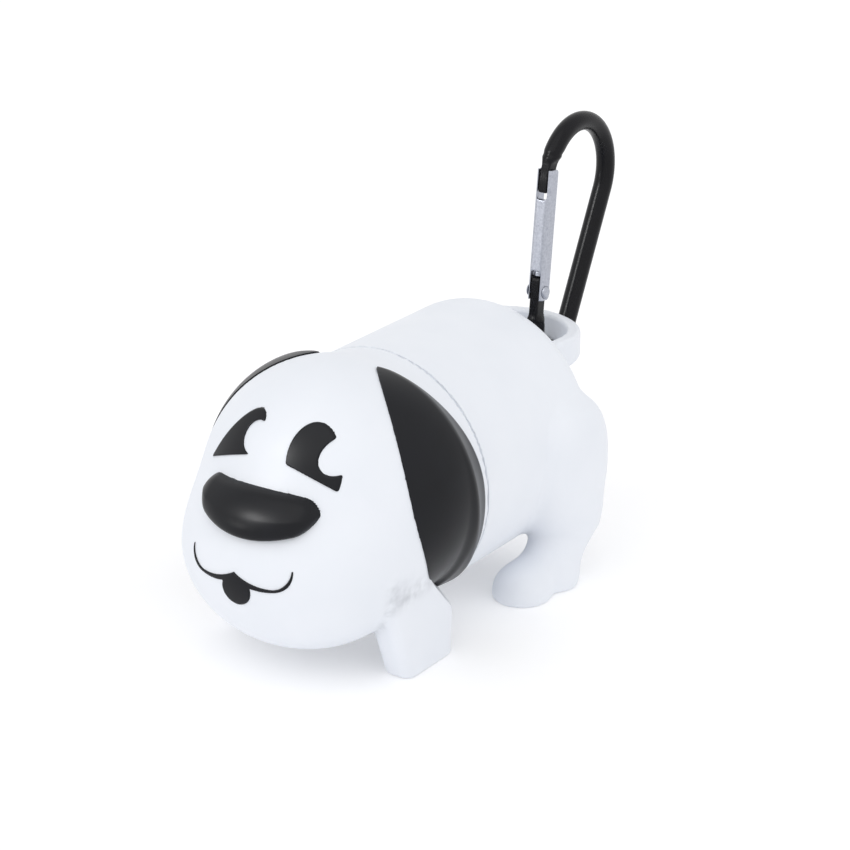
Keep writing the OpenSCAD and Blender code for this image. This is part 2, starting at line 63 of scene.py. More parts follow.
AZIMUTH, ELEVATION = np.radians((35.0, 22.0))
DISTANCE = 550.0
PIXELS_PER_MM = 4.74
PHOTO_SIZE = 850.0
SENSOR = 36.0
TARGET = np.array((5.36, 8.02, 40.65))
away = np.array((np.sin(AZIMUTH) * np.cos(ELEVATION),
                 -np.cos(AZIMUTH) * np.cos(ELEVATION),
                 np.sin(ELEVATION)))
right = np.array((np.cos(AZIMUTH), np.sin(AZIMUTH), 0.0))
camera_data = bpy.data.cameras.new("camera")
camera_data.sensor_width = SENSOR
camera_data.lens = SENSOR * PIXELS_PER_MM * DISTANCE / PHOTO_SIZE
camera = bpy.data.objects.new("camera", camera_data)
bpy.context.scene.collection.objects.link(camera)
bpy.context.scene.camera = camera
turn = np.eye(4)
turn[:3, :3] = np.stack((right, np.cross(away, right), away), 1)
turn[:3, 3] = to_frame(TARGET + away * DISTANCE)
camera.matrix_world = Matrix(turn.tolist())
print("lens, mm:", round(camera_data.lens, 1))

# %% [markdown]
# ## Shapes as distance fields
# The dog's shells run softly into their legs, so they are hard to draw as one
# grid of quads. A field gives every point its distance to the surface, below
# zero inside. Fields of simple forms are joined with a soft minimum, which
# rounds the crease, and cut with a soft maximum, which rounds the edge.

# %% Fields of simple forms
def ellipsoid(p, centre, half):
    """Distance to an ellipsoid: scaled length k0 times (k0 - 1), over the length of its slope."""
    half = np.array(half, p.dtype)
    q = (p - np.array(centre, p.dtype)) / half
    k0 = np.linalg.norm(q, axis=-1) + 1e-6
    k1 = np.linalg.norm(q / half, axis=-1) + 1e-6
    return k0 * (k0 - 1) / k1


def from_axis(p, z=AXIS_Z):
    """Distance of each point from a line along Y at height z."""
    return np.hypot(p[..., 0], p[..., 2] - z)


def rod_y(p, radius, y0, y1, rounding, z=AXIS_Z):
    """Distance to a rod along Y with rounded rims: a rounded rectangle of (distance from axis, y)."""
    along = np.abs(p[..., 1] - (y0 + y1) / 2) - (y1 - y0) / 2
    return rounded(from_axis(p, z) - radius, along, rounding)


def swollen(p, centre, half, power):
    """Distance to a squarish ellipsoid: power sum k of the scaled offsets, less 1, over its slope."""
    half = np.array(half, p.dtype)
    q = np.abs(p - np.array(centre, p.dtype)) / half
    k = (q ** power).sum(-1) ** (1 / power) + 1e-6
    return (k - 1) / np.linalg.norm((q / k[..., None]) ** (power - 1) / half, axis=-1)


def rounded(a, b, radius):
    """Rounded corner of two fields: distance to the corner moved in by radius, less the radius."""
    a, b = a + radius, b + radius
    outside = np.hypot(np.maximum(a, 0), np.maximum(b, 0))
    return np.minimum(np.maximum(a, b), 0) + outside - radius


def limb(p, a, b, ra, rb):
    """Distance to a tapering limb: distance to the segment a-b, less a radius from ra to rb."""
    a, b = np.array(a, p.dtype), np.array(b, p.dtype)
    t = np.clip((p - a) @ (b - a) / ((b - a) @ (b - a)), 0, 1)
    return np.linalg.norm(p - a - t[..., None] * (b - a), axis=-1) - (ra + (rb - ra) * t)


def join(a, b, soft):
    """Soft minimum: the smaller of two fields, lowered by a parabola where they are nearly equal."""
    h = np.maximum(soft - np.abs(a - b), 0) / soft
    return np.minimum(a, b) - h * h * soft / 4


def cut(a, b, soft):
    """Soft maximum: keeps what is inside both fields."""
    return -join(-a, -b, soft)


def both_sides(p):
    """Folds the dog's right half onto its left half, so that one leg's field draws two."""
    q = p.copy()
    q[..., 0] = np.abs(q[..., 0])
    return q


# %% [markdown]
# ## From field to mesh
# A grid of samples shows which cells the surface passes through. Each such cell
# gets one corner of the mesh, placed where the planes through the cell's
# crossings meet, so that sharp edges stay sharp; each crossed grid edge gets
# one quad. The grid's lines may be closer together where detail is small.

# %% From field to mesh
BLOCK = 8
BLOCKS_AT_ONCE = 400
REACH_MARGIN = 1.5
FLAT_LIMIT = 0.06
FAR = 50.0


def grid_lines(*stretches):
    """Grid lines of one axis: stretches (from, to, step), then more steps to fill the last block."""
    lines = np.concatenate([np.arange(a, b - step / 2, step) for a, b, step in stretches])
    step = stretches[-1][2]
    missing = -len(lines) % BLOCK
    return np.concatenate((lines, lines[-1] + step * np.arange(1, missing + 1)))


def sample(field, lines):
    """The field on the grid; blocks of samples far from the surface keep their middle's value."""
    middles = [a.reshape(-1, BLOCK).mean(1) for a in lines]
    reach = np.sqrt(sum((a.reshape(-1, BLOCK).max(1) - a.reshape(-1, BLOCK).min(1)).max() ** 2
                        for a in lines)) / 2 * REACH_MARGIN
    coarse = field(np.stack(np.meshgrid(*middles, indexing="ij"), -1))
    values = coarse
    for axis in range(3):
        values = np.repeat(values, BLOCK, axis)
    near = np.argwhere(np.abs(coarse) < reach)
    for part in np.array_split(near, max(1, len(near) // BLOCKS_AT_ONCE)):
        at = part[:, :, None] * BLOCK + np.arange(BLOCK)
        i, j, k = at[:, 0, :, None, None], at[:, 1, None, :, None], at[:, 2, None, None, :]
        spots = np.stack(np.broadcast_arrays(lines[0][i], lines[1][j], lines[2][k]), -1)
        values[i, j, k] = field(spots)
    return values


def slope(field, points, reach=0.02):
    """The field's direction of steepest rise, from differences across each point."""
    steps = np.eye(3) * reach
    change = np.stack([field(points + s) - field(points - s) for s in steps], -1)
    return change / (np.linalg.norm(change, axis=-1, keepdims=True) + 1e-9)


def field_surface(field, lines):
    """Corners and quads of the field's zero surface, one corner a cell, by fitting planes."""
    values = sample(field, lines)
    shape = np.array(values.shape)
    spots, cells, flips = [], [], []
    for axis in range(3):
        u, v = (axis + 1) % 3, (axis + 2) % 3
        low = np.take(values, range(shape[axis] - 1), axis)
        high = np.take(values, range(1, shape[axis]), axis)
        at = np.argwhere((low < 0) != (high < 0))
        inner = (at[:, u] > 0) & (at[:, v] > 0) & (at[:, u] < shape[u] - 1) & (at[:, v] < shape[v] - 1)
        at = at[inner]
        a, b = low[tuple(at.T)], high[tuple(at.T)]
        spot = np.stack([lines[k][at[:, k]] for k in range(3)], -1)
        spot[:, axis] += a / (a - b) * (lines[axis][at[:, axis] + 1] - lines[axis][at[:, axis]])
        ring = np.repeat(at[:, None], 4, 1)
        ring[:, (0, 3), u] -= 1
        ring[:, (0, 1), v] -= 1
        spots.append(spot)
        cells.append(ring)
        flips.append(a < 0)
    spots, cells, flips = (np.concatenate(s) for s in (spots, cells, flips))
    keys, quads = np.unique(np.ravel_multi_index(cells.reshape(-1, 3).T, shape), return_inverse=True)
    quads = quads.reshape(-1, 4)
    normals = slope(field, spots)
    who = quads.ravel()

    def total(x):
        """Sum over each cell's crossings of a value given per crossing."""
        return np.bincount(who, np.repeat(x, 4), len(keys))

    count = total(np.ones(len(spots)))
    middle = np.stack([total(spots[:, k]) for k in range(3)], -1) / count[:, None]
    planes = np.empty((len(keys), 3, 3))
    pull = np.zeros((len(keys), 3))
    offset = (normals * spots).sum(1)
    for i in range(3):
        pull[:, i] = total(normals[:, i] * offset)
        for j in range(3):
            planes[:, i, j] = total(normals[:, i] * normals[:, j])
            pull[:, i] -= planes[:, i, j] * middle[:, j]
    size, axes = np.linalg.eigh(planes)
    strong = size > FLAT_LIMIT * size[:, 2:]
    part = np.einsum("nji,nj->ni", axes, pull) * strong / np.maximum(size, 1e-9)
    corners = middle + np.einsum("nij,nj->ni", axes, part)
    home = np.stack(np.unravel_index(keys, shape), -1)
    floor = np.stack([lines[k][home[:, k]] for k in range(3)], -1)
    ceiling = np.stack([lines[k][home[:, k] + 1] for k in range(3)], -1)
    corners = np.clip(corners, floor, ceiling)
    smooth = ~strong[:, 1]
    rest = corners[smooth]
    for _ in range(2):
        rest = rest - field(rest)[:, None] * slope(field, rest)
    corners[smooth] = np.clip(rest, floor[smooth], ceiling[smooth])
    quads[~flips] = quads[~flips][:, ::-1]
    return corners, quads


def make_object(name, corners, faces, sharp=None):
    """A mesh object from corners in mm and faces; edges past the angle sharp aren't smoothed."""
    mesh = bpy.data.meshes.new(name)
    mesh.from_pydata(to_frame(corners), [], faces if isinstance(faces, list) else faces.tolist())
    mesh.shade_smooth()
    if sharp:
        mesh.set_sharp_from_angle(angle=np.radians(sharp))
    piece = bpy.data.objects.new(name, mesh)
    bpy.context.scene.collection.objects.link(piece)
    return piece


def moulding(name, field, lines, sharp=35, place=None):
    """A piece whose surface is the field's zero surface; place, if given, moves its corners."""
    corners, quads = field_surface(field, lines)
    piece = make_object(name, place(corners) if place else corners, quads, sharp)
    print(name, len(quads) * 2, "triangles")
    return piece


# %% [markdown]
# ## The head
# Skull and muzzle are two ellipsoids that meet in the soft fold below the eyes.
# The head grows out of a plain collar as wide as the barrel; two flat-sided
# front legs stand under it, and a thin spigot behind plugs into the barrel.

# %% The head's outside
COARSE = 1.0
RADIUS = 27.0
COLLAR = 9.0
PARTING_GAP = 0.15
SKULL_CENTRE, SKULL_HALF = (0, -17, 33.8), (28, 26.5, 28)
MUZZLE_CENTRE, MUZZLE_HALF = (0, -28.8, 25.2), (25.6, 21.3, 20.6)
MUZZLE_FOLD = 5.0
COLLAR_FOLD = 2.0
LEG_FOLD = 0.9
LEG_X, LEG_Y, LEG_TOP, LEG_CORNER = 21.5, -17.2, 24, 2.4
LEG_HALF_WIDTH, LEG_HALF_LENGTH = 3.5, 8.2
LEG_WIDENS, LEG_LEANS, LEG_LENGTHENS = 0.02, 0.15, 0.18


def head_form(p):
    """Skull and muzzle, softly joined."""
    skull = ellipsoid(p, SKULL_CENTRE, SKULL_HALF)
    muzzle = ellipsoid(p, MUZZLE_CENTRE, MUZZLE_HALF)
    return join(skull, muzzle, MUZZLE_FOLD)


def front_leg(p):
    """A rounded rectangle seen from above that grows and leans ahead with height, cut off below."""
    x, y, z = np.abs(p[..., 0]), p[..., 1], p[..., 2]
    side = np.abs(x - LEG_X + LEG_WIDENS * z) - LEG_HALF_WIDTH - LEG_WIDENS * z
    length = np.abs(y - LEG_Y + LEG_LEANS * z) - LEG_HALF_LENGTH - LEG_LENGTHENS * z
    return cut(rounded(side, length, LEG_CORNER), np.maximum(-z, z - LEG_TOP), 1.0)


def body_skin(p):
    """Head form and collar, which stops just short of the parting plane."""
    collar = cut(rod_y(p, RADIUS, -COLLAR, 6, 0.3), p[..., 1] + PARTING_GAP, 0.5)
    return join(head_form(p), collar, COLLAR_FOLD)


def head_outside(p):
    """Head form, collar and front legs."""
    return join(body_skin(p), front_leg(p), LEG_FOLD)


print("head form at the mouth, mm:", head_form(np.array([[0.0, -50.0, 22.0]])).round(2))

# %% [markdown]
# ## Face pieces
# Eyes, nose and mouth are black pieces pushed into pockets of the head. Their
# outlines are plain arcs and ellipses seen from the front; a piece is what lies
# inside its outline between a depth below and a height above the head's skin.

# %% Outlines of the face
INSET = 1.2
PROUD = 0.28
PRESS = 0.25
FACE_BACK = -25
CHEEK_BOW = 1.4
# side: centre, half sizes, tilt, bite's centre and radius, two points of the lower edge
EYES = {
    1: ((10.4, 15.9), (4.75, 8.0), 29.1, (14.4, 18.0), 3.4, (5.1, 16.0), (16.2, 11.7)),
    -1: ((-9.9, 10.5), (5.5, 14.0), -24.0, (-3.7, 19.0), 2.9, (-15.4, 12.0), (-2.6, 16.3))}
CURL, CURL_RADIUS = (8.26, -2.97), 4.05
LIP, LIP_RADIUS = (7.0, 7.3), 14.4
CURL_FROM, CURL_TO = np.radians((5.0, -83.0))
CURL_TIP = (CURL[0] + CURL_RADIUS * np.cos(CURL_FROM), CURL[1] + CURL_RADIUS * np.sin(CURL_FROM))
TIP_RADIUS = 0.14
TONGUE = (0.4, -8.25, 3.45)
NOSE_SHIFT, NOSE_TOP, NOSE_HALF = 0.6, 11.0, 14.1
NOSE_BOWL = (0.7, 36.6, 34.3)


def disc(x, z, cx, cz, r):
    """Distance to a circle."""
    return np.hypot(x - cx, z - cz) - r


def eye_outline(x, z, side):
    """A tilted oval with a round bite, cut off below along the cheek, a line bowed by a parabola."""
    (cx, cz), (a, b), tilt, (bx, bz), bite, low, high = EYES[side]
    z = z - AXIS_Z
    c, s = np.cos(np.radians(tilt)), np.sin(np.radians(tilt))
    u, v = ((x - cx) * c + (z - cz) * s) / a, ((z - cz) * c - (x - cx) * s) / b
    k = np.hypot(u, v) + 1e-6
    oval = k * (k - 1) / (np.hypot(u / a, v / b) + 1e-6)
    run = np.subtract(high, low)
    length = np.hypot(*run)
    run = run / length
    along = ((x - low[0]) * run[0] + (z - low[1]) * run[1]) / length
    cheek = (x - low[0]) * run[1] - (z - low[1]) * run[0] + CHEEK_BOW * along * (1 - along)
    return cut(cut(oval, -disc(x, z, bx, bz, bite), 0.5), cheek, 0.4)


def mouth_outline(x, z):
    """Two hanging arcs with a curl at each end, thicker towards the middle, and a round tongue."""
    u, z = np.abs(x), z - AXIS_Z
    turn = np.arctan2(z - CURL[1], u - CURL[0])
    curl = np.abs(disc(u, z, *CURL, CURL_RADIUS))
    curl = curl - np.interp(turn, (CURL_TO, -0.7, CURL_FROM), (0.3, 0.36, TIP_RADIUS))
    hang = np.abs(disc(u, z, *LIP, LIP_RADIUS)) - np.interp(u, (0.0, 3.4, 8.7), (0.62, 0.55, 0.3))
    tip = disc(u, z, *CURL_TIP, TIP_RADIUS)
    line = np.where((turn > CURL_TO) & (turn < CURL_FROM), curl, tip)
    line = np.where((turn <= CURL_TO) & (z < -1.5), hang, line)
    roof = z - LIP[1] + np.sqrt(LIP_RADIUS ** 2 - np.clip(LIP[0] - u, -8, 8) ** 2)
    return join(line, cut(disc(x, z, *TONGUE), roof, 0.4), 0.4)


def nose_outline(x, z):
    """A wide bean: nearly flat on top, a shallow bowl below, round ends, the dog's left one lower."""
    z = z - AXIS_Z
    x = x - NOSE_SHIFT
    top = z - NOSE_TOP - 0.4 * np.exp(-(x / 7) ** 2) + 0.9 * np.clip((x - 6) / 7, 0, 1) ** 2
    across = rounded(top, disc(x, z, *NOSE_BOWL), 2.8)
    return rounded(np.abs(x) - NOSE_HALF, across, np.where(x > 0, 3.6, 3.9))


def face_outline(p):
    """All pieces of the face together."""
    x, z = p[..., 0], p[..., 2]
    d = np.minimum(eye_outline(x, z, 1), eye_outline(x, z, -1))
    d = np.minimum(d, np.minimum(mouth_outline(x, z), nose_outline(x, z)))
    return np.maximum(d, p[..., 1] - FACE_BACK)


# %% [markdown]
# The ears are pads laid on the sides of the head. Their plan is drawn on the
# head's skin as if it were unrolled from the barrel's axis: how far round a
# point lies is one axis, how far back the other.

# %% Ears
EAR_DEPTH = 1.3
UNROLLED_ON = 28.5
EAR_FRONT = (35.5, 10.0, 35.8)
EAR_REAR = (42.0, -69.2, 67.6)
EAR_CORNER = 1.5


def ear_plan(p):
    """In the plane of (arc length, y): a circle in front, and one run out straight behind."""
    arc = np.arctan2(np.abs(p[..., 0]), p[..., 2] - AXIS_Z) * UNROLLED_ON
    return disc(arc, p[..., 1], *EAR_FRONT), disc(np.minimum(arc, EAR_REAR[0]), p[..., 1], *EAR_REAR)


def ear_form(p):
    """A pad that thickens from both edges to a ridge near its rear edge, laid on the head's skin."""
    front, rear = ear_plan(p)
    skin = body_skin(p)
    crown = skin - join(0.3 - 0.2 * front, 0.4 - 0.4 * rear, 0.5)
    pad = np.maximum(cut(crown, rear, 0.9), cut(front, rear, EAR_CORNER))
    return np.maximum(pad, -skin - EAR_DEPTH)


def ear_pocket(p):
    """The ear's plan, a press fit narrower, open outwards."""
    return np.maximum(cut(*ear_plan(p), EAR_CORNER) + PRESS, -body_skin(p) - EAR_DEPTH - PRESS)


# %% [markdown]
# ## The front shell
# The inside follows the spigot's bore, a dome and the hollow of the muzzle.
# Pockets for the black pieces are cut last, a hair narrower than the pieces: a
# press fit, as in the real soft vinyl, so no white edge shows over the black.

# %% Front shell
SPIGOT_RADIUS, SPIGOT_BORE, SPIGOT_FROM, SPIGOT_TO = 24.45, 22.65, -4, 8
HOLLOW_CENTRE, HOLLOW_RADIUS = (0, -29.8, 26.2), 16.0


def front_inside(p):
    """The hollow of head and collar: the spigot's bore with a domed end, softly joined to a ball."""
    bore = rod_y(p, SPIGOT_BORE, -31.5, 60, 12)
    muzzle = np.linalg.norm(p - np.array(HOLLOW_CENTRE, p.dtype), axis=-1) - HOLLOW_RADIUS
    return join(bore, muzzle, 2.0)


def front_shell_field(p):
    """Head, collar, legs and spigot, less the hollow and the pockets of the black pieces."""
    spigot = rod_y(p, SPIGOT_RADIUS, SPIGOT_FROM, SPIGOT_TO, 0.6)
    spigot = cut(spigot, SPIGOT_FROM - p[..., 1], 0.1)
    body = np.minimum(head_outside(p), spigot)
    body = cut(body, -front_inside(p), 0.4)
    pocket = np.maximum(face_outline(p) + PRESS, -(head_form(p) + INSET + PRESS))
    return np.maximum(np.maximum(body, -pocket), -ear_pocket(p))


PLAIN = 0.7 * COARSE
front_shell = moulding("head_moulding", front_shell_field, [
    grid_lines((-29.4, -16.4, PLAIN), (-16.4, 16.4, 0.42 * COARSE), (16.4, 29.6, PLAIN)),
    grid_lines((-51.6, -30.0, 0.48 * COARSE), (-30.0, 9.4, PLAIN)),
    grid_lines((-1.8, 20.0, PLAIN), (20.0, 56.2, 0.44 * COARSE), (56.2, 62.8, PLAIN))])

# %% [markdown]
# Painted shade greys the white where the front legs run into the head. A
# number kept at every corner of the mesh says how near it is to that fold;
# the white finish reads it.

# %% Painted shade in the folds
FOLD_SHADE_WIDTH = 0.9
spots = np.empty(len(front_shell.data.vertices) * 3, np.float32)
front_shell.data.vertices.foreach_get("co", spots)
spots = spots.reshape(-1, 3) / MM - (0.0, PARTING_Y, 0.0)
# painted shade: near 1 close to the fold between the head and the front legs, where the white is
# greyed
nearness = np.exp(-((body_skin(spots) - front_leg(spots)) / FOLD_SHADE_WIDTH) ** 2)
fold_shade = front_shell.data.attributes.new("fold_shade", "FLOAT", "POINT")
fold_shade.data.foreach_set("value", nearness.astype(np.float32))
print("corners in the fold:", int((nearness > 0.5).sum()))

# %% [markdown]
# Every black piece is its own closed solid. The face pieces follow the head's
# skin; the nose rises over it in a dome, the ears in a ridge near their rear.

# %% Face and ear pieces
def inlay(name, outline, lines):
    """A piece inside an outline, from INSET below the head's skin to PROUD above it."""
    def field(p):
        """The outline cut off above the skin, below it and behind."""
        skin = head_form(p)
        front = cut(outline(p[..., 0], p[..., 2]), skin - PROUD, 0.3)
        return np.maximum(front, np.maximum(-(skin + INSET), p[..., 1] - FACE_BACK))
    return moulding(name, field, lines)


FINE = 0.15
NOSE_STEP = 0.25 * COARSE
EAR_STEP = 0.36 * COARSE
RIM_RISE, DOME_RISE, DOME_WIDTH = 0.4, 2.4, 4.6
eye_lines = [grid_lines((-42, -30, FINE)), grid_lines((42.5, 56, FINE))]
left_eye = inlay("left_eye_piece", lambda x, z: eye_outline(x, z, 1),
                 [grid_lines((4.0, 17.0, FINE))] + eye_lines)
right_eye = inlay("right_eye_piece", lambda x, z: eye_outline(x, z, -1),
                  [grid_lines((-16.0, -2.0, FINE))] + eye_lines)
mouth = inlay("mouth_piece", mouth_outline, [
    grid_lines((-13.4, 13.4, FINE)),
    grid_lines((-51.4, -43, FINE)),
    grid_lines((19.4, 31.0, FINE))])


def nose_field(p):
    """Inside the bean outline, under a quarter round that rises with the distance from the outline."""
    plan = nose_outline(p[..., 0], p[..., 2])
    deep = np.clip(-plan / DOME_WIDTH, 0, 1)
    skin = head_form(p)
    dome = skin - RIM_RISE - DOME_RISE * np.sqrt(deep * (2 - deep) + 1e-6)
    return np.maximum(cut(plan, dome, 0.8), np.maximum(-(skin + INSET), p[..., 1] - FACE_BACK))


nose = moulding("nose_piece", nose_field, [
    grid_lines((-14.8, 14.8, NOSE_STEP)),
    grid_lines((-52, -37, NOSE_STEP)),
    grid_lines((33, 44.2, NOSE_STEP))])


def ear_pad(name, side, low, high):
    """The part of the ear field on one side; side is 1 for the dog's left and -1 for its right."""
    return moulding(name, lambda p: np.maximum(ear_form(p), 1 - side * p[..., 0]), [
        grid_lines((low, high, EAR_STEP)),
        grid_lines((-27, -0.8, EAR_STEP)),
        grid_lines((12, 61, EAR_STEP))])


left_ear = ear_pad("left_ear_pad", 1, 4.5, 31.6)
right_ear = ear_pad("right_ear_pad", -1, -31.6, -4.5)

# %% [markdown]
# ## The rear shell
# A hollow barrel, closed behind, with two hind legs that swell out of its sides
# and an upright loop on top of its rear wall. The bags leave through a round
# port below that loop.

# %% Rear shell
LENGTH = 43.5
BARREL_BORE, BORE_END = 24.6, 41.1
PORT_Z, PORT_RADIUS, PORT_RIM = AXIS_Z - 5, 6.5, 9.1
LOOP_Y, LOOP_Z, LOOP_RADIUS = 48.1, 47.0, 14.5
LOOP_HALF_WALL, LOOP_HALF_HEIGHT = 1.5, 3.6
LOOP_ARM, LOOP_SLOPE, LOOP_FALL = 9.0, 0.06, 1.4
REAR_STEP = 0.57 * COARSE


def hind_leg(p):
    """Thigh, shank, instep, heel and toe, softly joined."""
    q = both_sides(p)
    thigh = swollen(q, (20.8, 34.2, 27.5), (10.4, 13.0, 15.5), 2.6)
    shank = limb(q, (23.2, 36.2, 14), (23.5, 31.2, 5.5), 7.4, 5.2)
    heel = limb(q, (23.8, 30.6, 2), (23.8, 30.4, 2.2), 5.6, 5.6)
    instep = limb(q, (22, 22, 2), (23.2, 30.4, 6.5), 5.5, 5.0)
    toe = limb(q, (21.7, 21, 1.2), (21.7, 21.2, 1.2), 6.3, 6.3)
    foot = join(join(instep, toe, 2.0), heel, 2.0)
    return cut(join(join(thigh, shank, 5.0), foot, 3.0), -p[..., 2], 0.8)


def tail_loop(p):
    """Half a ring and two straight arms of rounded rectangular section; the top slopes down behind."""
    x, y, z = p[..., 0], p[..., 1] - LOOP_Y, p[..., 2] - LOOP_Z
    ring = np.where(y > 0, np.hypot(x, y), np.abs(x)) - LOOP_RADIUS
    fall = np.clip(LOOP_SLOPE * (y + LOOP_ARM), 0.0, LOOP_FALL)
    height = np.maximum(z + fall, -z) - LOOP_HALF_HEIGHT
    return np.maximum(rounded(np.abs(ring) - LOOP_HALF_WALL, height, 0.9), -y - LOOP_ARM)


def rear_outside(p):
    """Barrel, hind legs, tail loop and the port's raised rim, softly joined."""
    barrel = cut(rod_y(p, RADIUS, -20, LENGTH, 7), PARTING_GAP - p[..., 1], 0.5)
    rim = rod_y(p, PORT_RIM, LENGTH - 2, LENGTH + 1.2, 0.6, z=PORT_Z)
    body = join(join(barrel, hind_leg(p), 1.6), tail_loop(p), 1.2)
    return join(body, rim, 0.6)


def rear_shell_field(p):
    """The outside less the bore and the port."""
    bore = rod_y(p, BARREL_BORE, -30, BORE_END, 4.6)
    port = rod_y(p, PORT_RADIUS, 38, 50, 0.0, z=PORT_Z)
    return cut(np.maximum(rear_outside(p), -bore), -port, 0.8)


rear_shell = moulding("barrel_moulding", rear_shell_field, [
    grid_lines((-32.2, 32.4, REAR_STEP)),
    grid_lines((-1.1, 65.4, REAR_STEP)),
    grid_lines((-1.2, 60.4, REAR_STEP))])

# %% [markdown]
# ## The clip
# The hook is one wire whose two ends were pressed flat. Its centre line lies in
# a plane: small bend, straight spine, large bend. A field of the distance to
# that line, morphed from a round section to a flat one, gives wire and blades.
# The clip is worked out in its own plane as (sideways, across, along) and is
# then leaned back and set on the tail loop.

# %% Where the clip stands
LEAN = np.radians(6.4)
CLIP_ORIGIN = (2.0, 62.6, 47.0)
WIRE_RADIUS = 2.15
GATE_LINE = -6.698
SMALL_BEND = 6.698
LARGE_BEND = 12.6
LARGE_CENTRE = np.array((5.902, 32.874))
SPINE_TURN = np.radians(20.357)
PIVOT = 8.374
GATE_FOOT, GATE_TOP = 6.474, 36.074
NOSE_TIP = 30.874
PLUNGER_FOOT = 11.974
BLADE_HALF_WIDTH, BLADE_HALF_THICKNESS, BLADE_END = 1.6, 1.1, 3.5
FLAT_BELOW_GATE, FLAT_ABOVE_GATE = 3.1, 0.8
HOOK_HOLE, GATE_HOLE, RIVET_SHANK = 0.91, 0.88, 0.85
HEAD_AT, HEAD_HEIGHT, HEAD_RADIUS = 1.93, 0.72, 1.45
GATE_HALF_WIDTH, GATE_HALF_DEPTH, HALF_SHEET = 1.625, 1.425, 0.275
WINDOW_HALF_WIDTH, WINDOW_LENGTH = 1.28, 6.8
LIP_BELOW_TOP, LIP_OUT = 6.96, 0.9
TAB_HEIGHT, TAB_OUT = 24.95, 0.1
PIN_RADIUS, PIN_END_RADIUS = 1.1, 0.6
CLIP_STEP, GATE_STEP, RIVET_STEP = 0.3 * COARSE, 0.14 * COARSE, 0.12 * COARSE


def on_clip(points):
    """Clip plane to parting plane: a turn about X leans the top back, then a shift to the loop."""
    x, g, h = np.moveaxis(np.asarray(points, float), -1, 0)
    c, s = np.cos(LEAN), np.sin(LEAN)
    leaned = np.stack((x, g * c + h * s, h * c - g * s), -1)
    return leaned + CLIP_ORIGIN


def to_segment(g, h, a, b):
    """Distance in the plane to the segment from a to b."""
    along = np.array(b) - a
    t = np.clip(((g - a[0]) * along[0] + (h - a[1]) * along[1]) / (along @ along), 0, 1)
    return np.hypot(g - a[0] - t * along[0], h - a[1] - t * along[1])


def to_arc(g, h, centre, radius, middle, half):
    """Distance in the plane to an arc: to its circle within half an angle of its middle, else far."""
    g, h = g - centre[0], h - centre[1]
    off = np.abs((np.arctan2(h, g) - middle + np.pi) % (2 * np.pi) - np.pi)
    return np.where(off <= half + 0.02, np.abs(np.hypot(g, h) - radius), FAR)


def rise(value, start, end):
    """0 before start, 1 after end and a smooth cubic step between."""
    t = np.clip((value - start) / (end - start), 0, 1)
    return t * t * (3 - 2 * t)


def hook_field(p):
    """Round wire (hypot of both distances less the radius), morphed to blades at its ends."""
    x, g, h = np.abs(p[..., 0]), p[..., 1], p[..., 2]
    side = np.array((np.cos(SPINE_TURN), -np.sin(SPINE_TURN)))
    less, more = (np.pi - SPINE_TURN) / 2, (np.pi + SPINE_TURN) / 2
    line = to_arc(g, h, (0, 0), SMALL_BEND, -more, less)
    line = np.minimum(line, to_segment(g, h, SMALL_BEND * side, LARGE_CENTRE + LARGE_BEND * side))
    line = np.minimum(line, to_arc(g, h, LARGE_CENTRE, LARGE_BEND, less, more))
    line = np.minimum(line, to_segment(g, h, (GATE_LINE, 0.0), (GATE_LINE, PIVOT + 6)))
    bend_foot = LARGE_CENTRE - (LARGE_BEND, 0)
    line = np.minimum(line, to_segment(g, h, (GATE_LINE, NOSE_TIP - 3), bend_foot))
    round_wire = np.hypot(line, x) - WIRE_RADIUS
    blade = rounded(line - BLADE_HALF_WIDTH, x - BLADE_HALF_THICKNESS, 0.35)
    start, end = GATE_FOOT - FLAT_BELOW_GATE, GATE_TOP + FLAT_ABOVE_GATE
    flat = np.where(h < 20, rise(h, start - 2, start), 1 - rise(h, end, end + 2.2))
    flat = np.where(g > 2, 0, flat)
    neck = 0.16 * (np.exp(-((h - end - 2.4) / 0.5) ** 2) + np.exp(-((h - start + 2.1) / 0.5) ** 2))
    body = round_wire * (1 - flat) + blade * flat + np.where(g < 2, neck, 0)
    foot_top = PIVOT + np.sqrt(np.maximum(BLADE_END ** 2 - (g - GATE_LINE) ** 2, 0))
    gap = np.minimum(h - foot_top, NOSE_TIP - h)
    gap = np.where(np.abs(g - GATE_LINE) < 5, gap, -5.0)
    body = cut(body, gap, 0.5)
    return np.maximum(body, HOOK_HOLE - np.hypot(g - GATE_LINE, h - PIVOT))


hook = moulding("hook_wire", hook_field, [
    grid_lines((-2.5, 2.5, 0.25 * COARSE)),
    grid_lines((-9.3, 21.2, CLIP_STEP)),
    grid_lines((-9.5, 48.4, CLIP_STEP))], place=on_clip)

# %% [markdown]
# The gate is one strip of sheet steel folded to a channel. Both ends of its web
# are cut away, so that the flanges straddle the blades; a narrow lip is left
# bent inwards under the upper window, and a tab inside stops the spring.

